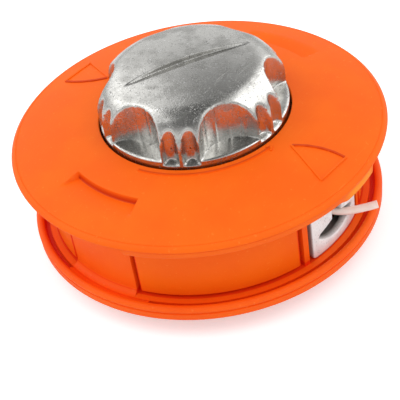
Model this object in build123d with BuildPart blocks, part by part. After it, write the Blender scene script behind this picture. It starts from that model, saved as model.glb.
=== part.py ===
from build123d import *
import os
from math import acos, cos, hypot, radians, sin, sqrt, tan

os.makedirs("parts", exist_ok=True)

# Bump-feed line trimmer head, standing on its hub with the knob up. Millimetres.
# The spin axis is Z, z = 0 is the hub face, +X runs through the right-hand eyelet.

# Drum and flanges
drum_r = 55.5           # outer face of skirt panels, piers and eyelets
rim_reach = 9.5         # cover's rim beyond the drum
flange_reach = 6.9      # lower flange beyond the drum
panel_t = 2.5           # depth of skirt panels and piers
wall_t = 2.6            # inner drum wall
skirt_gap = 0.4         # between skirt panels and inner wall
hub_drop = 8.0          # hub face to the flange's lower edge
floor_rise = 3.6        # flange's lower edge to the drum floor
plate_t = 2.6           # housing floor
lip_h = 5.4             # flange lip
lip_w = 2.6
lip_foot = 0.7          # lip's inner side above the floor
flange_edge = 0.5       # bevel of the flange
flange_step = 0.2
groove_w = 1.8          # groove inside the lip
groove_depth = 1.8
flange_gap = 32.4       # flange's lower edge to the cover's rim line
wall_clear = 3.0        # inner wall below the rim line
pocket_w = 6.9          # core pockets in the hub face
rib_count = 12          # under the floor
rib_t = 2.0
rib_foot = 0.4          # rib above the flange's lower edge

# Cover
cover_rise = 7.0        # rim line to the edge of the knob hole
cover_t = 2.85
crown = 0.6             # bulge of the cover's top
rim_edge = 1.5          # rounded rim, above the rim line
rim_round = 0.3
rim_step = 0.5          # lower band of the rim, set back
rim_band = 2.0
rim_drop = 2.6
hood_drop = 4.0         # band over the eyelet
hole_edge = 0.4         # rounded edge of the knob hole
ring_gap = 1.5          # drum face to the stiffening ring under the rim
ring_t = 2.5
ring_drop = 6.4         # rim line to the ring's lower edge
collar_t = 2.0          # collar round the knob hole
collar_h = 4.4
dent_reach = 8.5        # steep inner wall of the finger dents, inside the drum face
dent_half = 16.0        # degrees
dent_depth = 2.2
dent_taper = 12.0       # degrees
dent_skin = 1.8
skin_extra = 1.5        # degrees

# Places round the drum, degrees from the right-hand eyelet
eyelet_half = 14.0
eyelet_side = 1.2
post_in = 15.4
post_out = 17.6
post_root = 18.6
channel_play = 0.3
panel_a = (-76.7, -19.2)
panel_b = (-161.0, -107.4)
pier = (-106.5, -78.2)
groove = (-72.6, 74.0)
rim_arc = (-75.0, 9.0)
hood_arc = (-6.0, 9.0)
pocket_extra = 3.0
panel_clear = 1.0       # panel foot above the floor, in millimetres
latch_half = 8.0
latch_h = 1.3
latch_hook = 1.2

# Bump knob
knob_r = 32.6
knob_gap = 0.6          # knob to the cover's hole
knob_stand = 19.6       # apex above the hole's edge
knob_wall = 2.6
knob_side = 6.1         # straight side above the hole's edge
shoulder_r = 12.0
scallop_count = 6
scallop_start = 30.0    # degrees
scallop_r = 12.5
scallop_out = 5.2       # scallop's axis beyond the knob's side
scallop_ledge = 2.4     # ledge above the hole's edge
flute_r = 2.6
flute_spread = 6.0      # degrees each side of a pair's middle
flute_foot = 0.6        # above the hole's edge
bar_angle = 60.0        # pointed recess on the crown, degrees
bar_end = 8.2           # recess's points inside the knob's side
bar_w = 5.0
bar_depth = 1.8

# Spool, catches and line
bump_travel = 4.5
end_gap = 0.3           # running gap of moving faces
catch_count = 6
catch_gap = 0.8         # collar to the catches
catch_w = 5.0
catch_h = 2.4
catch_flat = 2.0
catch_ramp = 4.0
catch_slip = 6.3        # slip of the spool to its lower stops
spool_gap = 3.2         # spool to the inner wall
spool_flange_t = 1.5
core_t = 2.0
sleeve_t = 1.5
sleeve_l = 14.0
web_t = 3.0
spigot_h = 3.0
spigot_t = 3.0
cap_t = 2.6
key_count = 3
key_w = 5.0
key_h = 2.4
key_end = 1.0
key_gap = 0.2
line_d = 2.7
line_out = 10.5         # cut end beyond the eyelet
exit_right = 6.2        # line's place in the right-hand slot, degrees
winding_t = 9.3         # line on the spool's core
winding_turns = 3

# Spindle, adapter, spring and screw
spindle_bore = 11.0
spindle_t = 2.5
adapter_af = 16.0
adapter_recess = 1.0
adapter_seat = 15.0     # hub face to the adapter's shoulder
adapter_collar = 4.0
adapter_gap = 0.2
thread_r = 4.35         # core radius of the M10 x 1.25 left-hand thread
wire_d = 1.8
spring_gap = 0.7        # sleeve to the spring
coil_gap = 1.2          # spring to the spool's core
spring_turns = 7
washer_t = 1.0
washer_play = 0.4
screw_r = 3.0           # M6
screw_head_r = 5.4
screw_head_h = 3.6
screw_socket = 2.4      # hexagon socket, across its flats by two
socket_depth = 2.2
screw_l = 16.0
disc_r = 7.0            # plain washer under the screw head
disc_t = 1.2
boss_r = 6.0

# Eyelet
eyelet_plate = 2.5
eyelet_foot_r = 2.0
slot_half = 10.2        # crescent slot, along the drum face
slot_low = 3.7          # crescent's lowest point above the floor
slot_tip = 7.4
slot_top = 11.0
slot_nose = 1.0         # blunt tips of the crescent
slot_blunt = 1.6
notch_half = 2.9
notch_top = 22.4

# Radii
cover_r = drum_r + rim_reach
flange_r = drum_r + flange_reach
ring_r = drum_r + ring_gap + ring_t
dent_r = drum_r - dent_reach
wall_in = drum_r - panel_t - skirt_gap - wall_t
wall_out = wall_in + wall_t
spool_r = wall_in - spool_gap
hole_r = knob_r + knob_gap
catch_in = hole_r + collar_t + catch_gap
catch_out = catch_in + catch_w
scallop_at = knob_r + scallop_out
bar_l = 2 * (knob_r - bar_end)
spigot_r = knob_r - knob_wall - end_gap
spindle_r = spindle_bore + spindle_t
hub_r = spindle_r + pocket_w + plate_t
sleeve_in = spindle_r + end_gap
sleeve_out = sleeve_in + sleeve_t
spring_r = sleeve_out + spring_gap + wire_d / 2
core_r = spring_r + wire_d / 2 + coil_gap + core_t
winding_r = core_r + winding_t
washer_in = sleeve_out + washer_play
washer_out = core_r - core_t - washer_play

# Heights
z_flange = hub_drop
z_floor = z_flange + floor_rise
z_rim = z_flange + flange_gap
z_hole = z_rim + cover_rise
rim_top_r = cover_r - rim_edge
slope = (cover_rise - rim_edge) / (rim_top_r - hole_r)


def top_z(r):
    """Height of the cover's top cone at radius r, without its bulge."""
    return z_rim + rim_edge + slope * (rim_top_r - r)


def under_z(r):
    """Height of the cover's underside at radius r."""
    return top_z(r) - cover_t


spool_top = under_z(catch_out) - end_gap - catch_h
spool_low = z_floor + end_gap + catch_h + bump_travel
chamber_h = (spool_top - spool_low - 3 * spool_flange_t) / 2
mid_low = spool_low + spool_flange_t + chamber_h
wall_top = z_rim - wall_clear
z_ring = z_rim - ring_drop
web_low = spool_top - web_t
cap_low = spool_top + spigot_h - cap_t
spindle_top = cap_low - bump_travel - 2 * end_gap
z_apex = z_hole + knob_stand
far = 3 * cover_r


def wedge(start, end):
    """Corners of a triangle from the axis that spans two angles."""
    a, b = radians(start), radians(end)
    return [(0, 0), (far * cos(a), far * sin(a)), (far * cos(b), far * sin(b))]


def radial_plane(angle):
    """Plane through the axis: local x runs outwards at the angle, local y runs up."""
    a = radians(angle)
    return Plane(origin=(0, 0, 0), x_dir=(cos(a), sin(a), 0), z_dir=(sin(a), -cos(a), 0))


def catch_plane(angle):
    """Plane across a radius at the catches: local x runs round the axis, local y runs up."""
    a = radians(angle)
    foot = (catch_in * cos(a), catch_in * sin(a), 0)
    return Plane(origin=foot, x_dir=(-sin(a), cos(a), 0), z_dir=(cos(a), sin(a), 0))


def block(x0, x1, y0, y1):
    """Rectangle of the sketch at hand between two radii and two heights."""
    with Locations((x0, y0)):
        Rectangle(x1 - x0, y1 - y0, align=(Align.MIN, Align.MIN))


catch_planes = [catch_plane(360 / catch_count * k) for k in range(catch_count)]
catch_width = catch_flat + catch_ramp

# Housing: hub, floor, lipped flange, spindle, inner wall, eyelet posts and latch piers
lip_in = flange_r - lip_w
pocket_half = 180 / rib_count + pocket_extra
with BuildPart() as housing:
    with BuildSketch(Plane.XZ):
        block(0, hub_r, 0, z_floor)
        block(0, drum_r, z_floor - plate_t, z_floor)
        block(0, spindle_r, 0, spindle_top)
        with BuildLine():
            Polyline(
                (drum_r, z_floor),
                (drum_r, z_floor - plate_t),
                (flange_r - flange_edge, z_flange),
                (flange_r, z_flange + flange_edge),
                (flange_r, z_flange + lip_h / 2),
                (flange_r - flange_edge, z_flange + lip_h / 2 + flange_step),
            )
            ThreePointArc(
                (flange_r - flange_edge, z_flange + lip_h / 2 + flange_step),
                (flange_r - lip_w / 2, z_flange + lip_h),
                (lip_in, z_floor + lip_foot),
            )
            Polyline((lip_in, z_floor + lip_foot), (lip_in - groove_w, z_floor), (drum_r, z_floor))
        make_face()
        with Locations((0, adapter_seat)):
            Rectangle(
                spindle_bore,
                spindle_top - adapter_seat,
                align=(Align.MIN, Align.MIN),
                mode=Mode.SUBTRACT,
            )
    revolve(axis=Axis.Z)
    # Hexagon socket of the threaded adapter
    with BuildSketch():
        RegularPolygon(adapter_af / 2 + adapter_gap, 6, major_radius=False)
    extrude(amount=adapter_seat, mode=Mode.SUBTRACT)
    # Core pockets in the hub face
    with BuildSketch():
        with PolarLocations(0, rib_count // 2, start_angle=180 / rib_count):
            Polygon(*wedge(-pocket_half, pocket_half), align=None)
        Circle(hub_r - plate_t, mode=Mode.INTERSECT)
        Circle(spindle_r, mode=Mode.SUBTRACT)
    extrude(amount=hub_drop - plate_t, mode=Mode.SUBTRACT)
    # Ribs under the floor, from the hub to the flange
    with BuildSketch(*[radial_plane(360 / rib_count * (k + 0.5)) for k in range(rib_count)]):
        Polygon(
            (hub_r - plate_t / 2, hub_drop / 2),
            (lip_in, z_flange + rib_foot),
            (lip_in, z_floor - plate_t / 2),
            (hub_r - plate_t / 2, z_floor - plate_t / 2),
            align=None,
        )
    extrude(amount=rib_t / 2, both=True)
    # Inner wall with the two eyelet windows
    with BuildSketch(Plane.XY.offset(z_floor - plate_t / 2)):
        Circle(wall_out)
        Circle(wall_in, mode=Mode.SUBTRACT)
        with PolarLocations(0, 2):
            Polygon(*wedge(-post_out, post_out), align=None, mode=Mode.SUBTRACT)
        with PolarLocations(0, 2):
            Polygon(*wedge(*pier), align=None)
        Circle(drum_r, mode=Mode.INTERSECT)
        Circle(wall_in, mode=Mode.SUBTRACT)
    extrude(amount=wall_top - z_floor + plate_t / 2)
    # Channel posts that hold the eyelets by their side flanges
    with BuildSketch(Plane.XY.offset(z_floor - plate_t / 2)):
        with PolarLocations(0, 2):
            Polygon(*wedge(-post_root, -post_in), align=None)
            Polygon(*wedge(post_in, post_root), align=None)
        Circle(wall_out, mode=Mode.INTERSECT)
        with PolarLocations(0, 2):
            Polygon(*wedge(-post_out, -post_in), align=None)
            Polygon(*wedge(post_in, post_out), align=None)
        Circle(drum_r, mode=Mode.INTERSECT)
        Circle(wall_in - wall_t / 2, mode=Mode.SUBTRACT)
    extrude(amount=wall_top - z_floor + plate_t / 2)
    with BuildSketch(Plane.XY.offset(z_floor)):
        with PolarLocations(0, 2):
            Polygon(*wedge(-(post_in + post_root) / 2, (post_in + post_root) / 2), align=None)
        Circle(wall_out, mode=Mode.INTERSECT)
        Circle(wall_in, mode=Mode.SUBTRACT)
    extrude(amount=wall_top, mode=Mode.SUBTRACT)
    # Groove inside the lip, interrupted in front of the latch piers
    with BuildSketch(*[radial_plane(groove[0] + 180 * k) for k in range(2)]):
        block(lip_in - groove_w, lip_in, z_floor - groove_depth, z_flange + lip_h)
    revolve(axis=Axis.Z, revolution_arc=groove[1] - groove[0], mode=Mode.SUBTRACT)
    # Rounded foot of the piers, and the latch bead on each pier
    foot = lip_in - groove_w - drum_r
    with BuildSketch(*[radial_plane(pier[0] + 180 * k) for k in range(2)]):
        with BuildLine():
            Polyline(
                (drum_r, z_floor + foot),
                (drum_r - panel_t, z_floor + foot),
                (drum_r - panel_t, z_floor - plate_t / 2),
                (drum_r + foot, z_floor - plate_t / 2),
                (drum_r + foot, z_floor),
            )
            RadiusArc((drum_r + foot, z_floor), (drum_r, z_floor + foot), foot)
        make_face()
    revolve(axis=Axis.Z, revolution_arc=pier[1] - pier[0])
    pier_mid = (pier[0] + pier[1]) / 2
    bead_low = z_ring + latch_h + end_gap
    with BuildSketch(*[radial_plane(pier_mid - latch_half + 180 * k) for k in range(2)]):
        Polygon(
            (drum_r - panel_t / 2, bead_low),
            (drum_r + latch_hook, bead_low),
            (drum_r, bead_low + 2 * latch_h),
            (drum_r - panel_t / 2, bead_low + 2 * latch_h),
            align=None,
        )
    revolve(axis=Axis.Z, revolution_arc=2 * latch_half)
    # Lower stops on the floor
    with BuildSketch(*catch_planes):
        Polygon(
            (catch_slip, z_floor - plate_t / 2),
            (catch_slip, z_floor + catch_h),
            (catch_slip + catch_flat, z_floor + catch_h),
            (catch_slip + catch_width, z_floor),
            (catch_slip + catch_width, z_floor - plate_t / 2),
            align=None,
        )
    extrude(amount=catch_w)

# Cover: coned top with a rounded rim, ring, skirt panels, finger dents and upper stops
with BuildPart() as cover:
    with BuildSketch(Plane.XZ):
        with BuildLine():
            ThreePointArc(
                (hole_r, z_hole - hole_edge),
                (hole_r + 0.3 * hole_edge, z_hole - 0.3 * hole_edge),
                (hole_r + hole_edge, top_z(hole_r + hole_edge)),
            )
            SagittaArc(
                (hole_r + hole_edge, top_z(hole_r + hole_edge)),
                (rim_top_r, z_rim + rim_edge),
                crown,
            )
            ThreePointArc(
                (rim_top_r, z_rim + rim_edge),
                (cover_r - rim_round, z_rim + rim_edge / 2),
                (cover_r, z_rim),
            )
            Polyline(
                (cover_r, z_rim),
                (cover_r - rim_step, z_rim - rim_round),
                (cover_r - rim_step - rim_band, z_rim - rim_edge / 2),
                (ring_r, z_rim - rim_edge / 2),
                (ring_r, z_ring),
                (ring_r - ring_t, z_ring),
                (ring_r - ring_t, under_z(ring_r - ring_t)),
                (hole_r + collar_t, under_z(hole_r + collar_t)),
                (hole_r + collar_t, z_hole - collar_h),
                (hole_r, z_hole - collar_h),
                (hole_r, z_hole - hole_edge),
            )
        make_face()
    revolve(axis=Axis.Z)
    # Lower band of the rim from pier to eyelet, deeper over the line's way out
    for arc_ends, drop in ((rim_arc, rim_drop), (hood_arc, hood_drop)):
        with BuildSketch(Plane.XY.offset(z_rim - drop)):
            with PolarLocations(0, 2):
                Polygon(*wedge(*arc_ends), align=None)
            Circle(cover_r - rim_step, mode=Mode.INTERSECT)
            Circle(cover_r - rim_step - rim_band, mode=Mode.SUBTRACT)
        extrude(amount=drop)
    # Skirt panels between the piers and the eyelet posts
    with BuildSketch(Plane.XY.offset(z_floor + panel_clear)):
        with PolarLocations(0, 2):
            Polygon(*wedge(*panel_a), align=None)
            Polygon(*wedge(*panel_b), align=None)
        Circle(drum_r, mode=Mode.INTERSECT)
        Circle(drum_r - panel_t, mode=Mode.SUBTRACT)
    extrude(amount=under_z(drum_r) + cover_t / 3 - z_floor - panel_clear)
    # Finger dents over the latch piers, with a skin under them
    dent_z = top_z(dent_r) + crown - dent_depth
    skin_z = dent_z - dent_skin
    skin_half = dent_half + skin_extra
    with BuildSketch(Plane.XY.offset(skin_z)):
        with PolarLocations(0, 2):
            Polygon(*wedge(pier_mid - skin_half, pier_mid + skin_half), align=None)
        Circle(ring_r - ring_t / 2, mode=Mode.INTERSECT)
        Circle(spool_r + 2 * end_gap, mode=Mode.SUBTRACT)
    extrude(amount=dent_skin)
    with BuildSketch(Plane.XY.offset(dent_z)):
        with PolarLocations(0, 2):
            Polygon(*wedge(pier_mid - dent_half, pier_mid + dent_half), align=None)
        Circle(cover_r, mode=Mode.INTERSECT)
        Circle(dent_r, mode=Mode.SUBTRACT)
    extrude(amount=2 * dent_depth, taper=-dent_taper, mode=Mode.SUBTRACT)
    # Upper stops under the cone
    stop_z = spool_top + end_gap
    stop_x = catch_flat / 2 + end_gap
    with BuildSketch(*catch_planes):
        Polygon(
            (stop_x, stop_z),
            (stop_x + catch_flat, stop_z),
            (stop_x + catch_width, stop_z + catch_h),
            (stop_x + catch_width, under_z(catch_out) + cover_t / 2),
            (stop_x, under_z(catch_out) + cover_t / 2),
            align=None,
        )
    extrude(amount=catch_w)
    # Latch lip inside the ring, under each pier's bead
    with BuildSketch(*[radial_plane(pier_mid - latch_half + 180 * k) for k in range(2)]):
        block(drum_r + skirt_gap, ring_r - ring_t / 2, z_ring, z_ring + latch_h)
    revolve(axis=Axis.Z, revolution_arc=2 * latch_half)

# Spool: three flanges, hollow core, bearing sleeve with a cap, spigot and keys for the knob
with BuildPart() as spool:
    with BuildSketch(Plane.XZ):
        block(core_r - core_t, core_r, spool_low, spool_top)
        block(core_r - core_t, spool_r, spool_low, spool_low + spool_flange_t)
        block(core_r - core_t, spool_r, mid_low, mid_low + spool_flange_t)
        block(sleeve_in, spool_r, spool_top - spool_flange_t, spool_top)
        block(sleeve_in, core_r, web_low, spool_top)
        block(sleeve_in, sleeve_out, web_low - sleeve_l, spool_top + spigot_h)
        block(screw_r + end_gap, sleeve_out, cap_low, spool_top + spigot_h)
        block(spigot_r - spigot_t, spigot_r, spool_top, spool_top + spigot_h)
    revolve(axis=Axis.Z)
    # Keys that turn the knob
    with BuildSketch(Plane.XY.offset(spool_top)):
        with PolarLocations((spigot_r + knob_r - spigot_t) / 2, key_count):
            Rectangle(knob_r - spigot_r + spigot_t - key_end, key_w)
    extrude(amount=key_h)
    # Catches on the upper and lower faces
    with BuildSketch(*catch_planes):
        Polygon(
            (catch_flat / 2, spool_top - spool_flange_t / 2),
            (catch_flat / 2, spool_top + catch_h),
            (-catch_flat / 2, spool_top + catch_h),
            (-catch_flat / 2 - catch_ramp, spool_top),
            (-catch_flat / 2 - catch_ramp, spool_top - spool_flange_t / 2),
            align=None,
        )
        Polygon(
            (catch_flat / 2, spool_low + spool_flange_t / 2),
            (catch_flat / 2, spool_low - catch_h),
            (-catch_flat / 2, spool_low - catch_h),
            (-catch_flat / 2 - catch_ramp, spool_low),
            (-catch_flat / 2 - catch_ramp, spool_low + spool_flange_t / 2),
            align=None,
        )
    extrude(amount=catch_w)

# Bump knob: domed casting with finger scallops, paired flutes and a hollow of even wall
z_side = z_hole + knob_side
knob_low = spool_top
centre_r = knob_r - shoulder_r
crown_z = ((z_apex - shoulder_r) ** 2 - centre_r**2 - z_side**2) / (2 * (z_apex - shoulder_r - z_side))
crown_r = z_apex - crown_z
reach = crown_r / hypot(centre_r, z_side - crown_z)
blend = (centre_r * reach, crown_z + (z_side - crown_z) * reach)
hollow_r = crown_r - knob_wall
inner_blend = (blend[0] * hollow_r / crown_r, crown_z + (blend[1] - crown_z) * hollow_r / crown_r)
inner_r = knob_r - knob_wall
ledge_z = z_hole + scallop_ledge

with BuildPart() as hollow:
    with BuildSketch(Plane.XZ):
        with BuildLine():
            Polyline((0, z_apex - knob_wall), (0, knob_low), (inner_r, knob_low), (inner_r, z_side))
            TangentArc((inner_r, z_side), inner_blend, tangent=(0, 1))
            ThreePointArc(
                inner_blend,
                (inner_blend[0] / 2, crown_z + sqrt(hollow_r**2 - inner_blend[0] ** 2 / 4)),
                (0, z_apex - knob_wall),
            )
        make_face()
    revolve(axis=Axis.Z)
    with BuildSketch(Plane.XY.offset(ledge_z - knob_wall)):
        with PolarLocations(scallop_at, scallop_count, start_angle=scallop_start):
            Circle(scallop_r + knob_wall)
    extrude(amount=knob_stand + knob_wall, mode=Mode.SUBTRACT)
    with BuildSketch(Plane.XY.offset(cap_low + cap_t + end_gap)):
        Circle(boss_r)
    extrude(amount=knob_stand + knob_wall, mode=Mode.SUBTRACT)

with BuildPart() as bump_knob:
    with BuildSketch(Plane.XZ):
        with BuildLine():
            Polyline((0, z_apex), (0, knob_low), (knob_r, knob_low), (knob_r, z_side))
            TangentArc((knob_r, z_side), blend, tangent=(0, 1))
            ThreePointArc(
                blend,
                (blend[0] / 2, crown_z + sqrt(crown_r**2 - blend[0] ** 2 / 4)),
                (0, z_apex),
            )
        make_face()
    revolve(axis=Axis.Z)
    with BuildSketch(Plane.XY.offset(ledge_z)):
        with PolarLocations(scallop_at, scallop_count, start_angle=scallop_start):
            Circle(scallop_r)
    extrude(amount=knob_stand, mode=Mode.SUBTRACT)
    with BuildSketch(Plane.XY.offset(z_hole + flute_foot)):
        with PolarLocations(knob_r, scallop_count, start_angle=flute_spread):
            Circle(flute_r)
        with PolarLocations(knob_r, scallop_count, start_angle=-flute_spread):
            Circle(flute_r)
    extrude(amount=knob_stand, mode=Mode.SUBTRACT)
    # Pointed recess along the crown, between two opposite pairs of flutes
    bar_sweep = (bar_l**2 / 4 + bar_w**2 / 4) / bar_w
    with BuildSketch(Plane.XY.offset(z_apex - bar_depth).rotated((0, 0, bar_angle))):
        with Locations((0, bar_sweep - bar_w / 2)):
            Circle(bar_sweep)
        with Locations((0, bar_w / 2 - bar_sweep)):
            Circle(bar_sweep, mode=Mode.INTERSECT)
    extrude(amount=bar_depth, mode=Mode.SUBTRACT)
    add(hollow.part, mode=Mode.SUBTRACT)
    # Slots for the spool's keys, and the screw's hole
    with BuildSketch(Plane.XY.offset(knob_low)):
        with PolarLocations(knob_r, key_count):
            Rectangle(2 * knob_wall + 4 * key_gap, key_w + 2 * key_gap)
    extrude(amount=key_h + key_gap, mode=Mode.SUBTRACT)
    with BuildSketch(Plane.XY.offset(cap_low + cap_t)):
        Circle(screw_r + adapter_gap)
    extrude(amount=screw_l, mode=Mode.SUBTRACT)

# Windings: one closed ring of turns in each chamber
turn_pitch = (chamber_h - 2 * end_gap) / winding_turns
with BuildPart() as winding_lower:
    with BuildSketch(Plane.XZ):
        block(
            core_r + end_gap,
            winding_r - 0.4 * line_d,
            spool_low + spool_flange_t + end_gap,
            mid_low - end_gap,
        )
        with Locations(
            *[
                (winding_r - turn_pitch / 2, spool_low + spool_flange_t + end_gap + turn_pitch * (k + 0.5))
                for k in range(winding_turns)
            ]
        ):
            Circle(turn_pitch / 2)
    revolve(axis=Axis.Z)

with BuildPart() as winding_upper:
    with Locations((0, 0, chamber_h + spool_flange_t)):
        add(winding_lower.part)

# Eyelet: thin face with a crescent slot and a notch, on a frame with side flanges
channel_half = (post_in + post_root) / 2 - channel_play
face_in = drum_r - eyelet_plate
eyelet_top = under_z(drum_r) - end_gap
with BuildPart() as eyelet_right:
    with BuildSketch(Plane.XY.offset(z_floor)):
        Polygon(*wedge(-channel_half, channel_half), align=None)
        Circle(wall_out - adapter_gap / 2, mode=Mode.INTERSECT)
        Polygon(*wedge(-eyelet_half, eyelet_half), align=None)
        Circle(drum_r, mode=Mode.INTERSECT)
        Circle(wall_in + adapter_gap / 2, mode=Mode.SUBTRACT)
    extrude(amount=eyelet_top - z_floor)
    # Hollow behind the face
    with BuildSketch(Plane.XY.offset(z_floor + eyelet_plate)):
        Polygon(*wedge(eyelet_side - eyelet_half, eyelet_half - eyelet_side), align=None)
        Circle(face_in, mode=Mode.INTERSECT)
    extrude(amount=eyelet_top - z_floor - 2 * eyelet_plate, mode=Mode.SUBTRACT)
    # Rounded corners at the foot
    foot_edges = eyelet_right.edges().filter_by(GeomType.LINE).filter_by(
        lambda edge: edge.center().Z < z_floor + 0.01 and hypot(edge.center().X, edge.center().Y) > wall_out
    )
    fillet(foot_edges, eyelet_foot_r)
    # Crescent slot and notch
    with BuildSketch(Plane.YZ.offset(wall_in)):
        with BuildLine():
            ThreePointArc(
                (-slot_half, z_floor + slot_tip),
                (0, z_floor + slot_low),
                (slot_half, z_floor + slot_tip),
            )
            Polyline(
                (slot_half, z_floor + slot_tip),
                (slot_half - slot_nose, z_floor + slot_tip + slot_blunt),
                (notch_half, z_floor + slot_top),
                (notch_half, z_floor + notch_top),
                (-notch_half, z_floor + notch_top),
                (-notch_half, z_floor + slot_top),
                (slot_nose - slot_half, z_floor + slot_tip + slot_blunt),
                (-slot_half, z_floor + slot_tip),
            )
        make_face()
    extrude(amount=drum_r, mode=Mode.SUBTRACT)

with BuildPart() as eyelet_left:
    add(eyelet_right.part, rotation=(0, 0, 180))

# Threaded adapter: hexagon bush with a round shoulder
with BuildPart() as threaded_adapter:
    with BuildSketch(Plane.XY.offset(adapter_recess)):
        RegularPolygon(adapter_af / 2, 6, major_radius=False)
    extrude(amount=adapter_seat - adapter_recess)
    with BuildSketch(Plane.XY.offset(adapter_seat)):
        Circle(spindle_bore - adapter_gap)
    extrude(amount=adapter_collar)
    with BuildSketch(Plane.XY.offset(adapter_recess)):
        Circle(thread_r)
    extrude(amount=adapter_seat + adapter_collar - adapter_recess, mode=Mode.SUBTRACT)

# Spring washer under the web, and the ground-ended coil spring below it
washer_low = web_low - end_gap / 3 - washer_t
with BuildPart() as spring_washer:
    with BuildSketch(Plane.XY.offset(washer_low)):
        Circle(washer_out)
        Circle(washer_in, mode=Mode.SUBTRACT)
    extrude(amount=washer_t)

spring_low = z_floor
spring_l = washer_low - spring_low
with BuildPart() as bump_spring:
    with BuildLine(Plane.XY.offset(spring_low)) as coil:
        Helix(pitch=spring_l / spring_turns, height=spring_l, radius=spring_r)
    with BuildSketch(Plane(origin=coil.line @ 0, z_dir=coil.line % 0)):
        Circle(wire_d / 2)
    sweep()
    with BuildSketch(Plane.XY.offset(spring_low)):
        Circle(spring_r + wire_d)
    extrude(amount=spring_l, mode=Mode.INTERSECT)

# Knob screw with its plain washer, driven from inside the spindle's bore
with BuildPart() as screw_washer:
    with BuildSketch(Plane.XY.offset(cap_low - disc_t)):
        Circle(disc_r)
        Circle(screw_r + adapter_gap, mode=Mode.SUBTRACT)
    extrude(amount=disc_t)

with BuildPart() as knob_screw:
    with BuildSketch(Plane.XY.offset(cap_low - disc_t - screw_head_h)):
        Circle(screw_head_r)
    extrude(amount=screw_head_h)
    with BuildSketch(Plane.XY.offset(cap_low - disc_t)):
        Circle(screw_r)
    extrude(amount=screw_l)
    with BuildSketch(Plane.XY.offset(cap_low - disc_t - screw_head_h)):
        RegularPolygon(screw_socket, 6, major_radius=False)
    extrude(amount=socket_depth, mode=Mode.SUBTRACT)

# Line ends: from the winding's tangent through the eyelet to a bare cut end
line_r = winding_r + line_d / 2 + end_gap


def tangent_route(exit_angle, exit_r, start_z, drops):
    """Points on the tangent to the line's circle that passes a radius at an angle, each with a drop."""
    leave = radians(exit_angle) - acos(line_r / exit_r)
    run = sqrt(exit_r**2 - line_r**2)
    ways = (0, 0.4 * run, 0.8 * run, run + end_gap, run + line_out)
    return [
        (
            line_r * cos(leave) - way * sin(leave),
            line_r * sin(leave) + way * cos(leave),
            start_z - drop * line_d,
        )
        for way, drop in zip(ways, drops)
    ]


def corner_radii(points):
    """Largest tangent radius at each corner that leaves a tenth of the shorter run straight."""
    radii = []
    for before, at, after in zip(points, points[1:], points[2:]):
        arriving = Vector(*at) - Vector(*before)
        leaving = Vector(*after) - Vector(*at)
        turn = radians(arriving.get_angle(leaving))
        radii.append(0.45 * min(arriving.length, leaving.length) / tan(turn / 2))
    return radii


lower_z = spool_low + spool_flange_t + line_d / 2 + 3 * end_gap
upper_z = lower_z + chamber_h + spool_flange_t
route_right = tangent_route(exit_right, drum_r, lower_z, (0, 0.04, 0.15, 1.67, 0.92))
route_left = tangent_route(180, drum_r - eyelet_plate / 2, upper_z, (0, 0.04, 0.17, 0.79, 1.17))

with BuildPart() as line_end_right:
    with BuildLine() as path_right:
        FilletPolyline(*route_right, radius=corner_radii(route_right))
    with BuildSketch(Plane(origin=path_right.line @ 0, z_dir=path_right.line % 0)):
        Circle(line_d / 2)
    sweep()

with BuildPart() as line_end_left:
    with BuildLine() as path_left:
        FilletPolyline(*route_left, radius=corner_radii(route_left))
    with BuildSketch(Plane(origin=path_left.line @ 0, z_dir=path_left.line % 0)):
        Circle(line_d / 2)
    sweep()

housing.part.label = "housing"
export_step(housing.part, "parts/housing.step")
cover.part.label = "cover"
export_step(cover.part, "parts/cover.step")
spool.part.label = "spool"
export_step(spool.part, "parts/spool.step")
bump_knob.part.label = "bump_knob"
export_step(bump_knob.part, "parts/bump_knob.step")
winding_lower.part.label = "winding_lower"
export_step(winding_lower.part, "parts/winding_lower.step")
winding_upper.part.label = "winding_upper"
export_step(winding_upper.part, "parts/winding_upper.step")
eyelet_right.part.label = "eyelet_right"
export_step(eyelet_right.part, "parts/eyelet_right.step")
eyelet_left.part.label = "eyelet_left"
export_step(eyelet_left.part, "parts/eyelet_left.step")
threaded_adapter.part.label = "threaded_adapter"
export_step(threaded_adapter.part, "parts/threaded_adapter.step")
spring_washer.part.label = "spring_washer"
export_step(spring_washer.part, "parts/spring_washer.step")
bump_spring.part.label = "bump_spring"
export_step(bump_spring.part, "parts/bump_spring.step")
screw_washer.part.label = "screw_washer"
export_step(screw_washer.part, "parts/screw_washer.step")
knob_screw.part.label = "knob_screw"
export_step(knob_screw.part, "parts/knob_screw.step")
line_end_right.part.label = "line_end_right"
export_step(line_end_right.part, "parts/line_end_right.step")
line_end_left.part.label = "line_end_left"
export_step(line_end_left.part, "parts/line_end_left.step")
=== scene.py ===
# %% [markdown]
# A line trimmer head in Blender.
# The head stands on its hub with the bump knob up. The CAD model gives every size, so the
# first cell loads it as a fixed frame, and every piece below is made in that frame.

# %% Load the frame
import bmesh
import bpy
import numpy as np
from mathutils import Matrix, Vector


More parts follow.
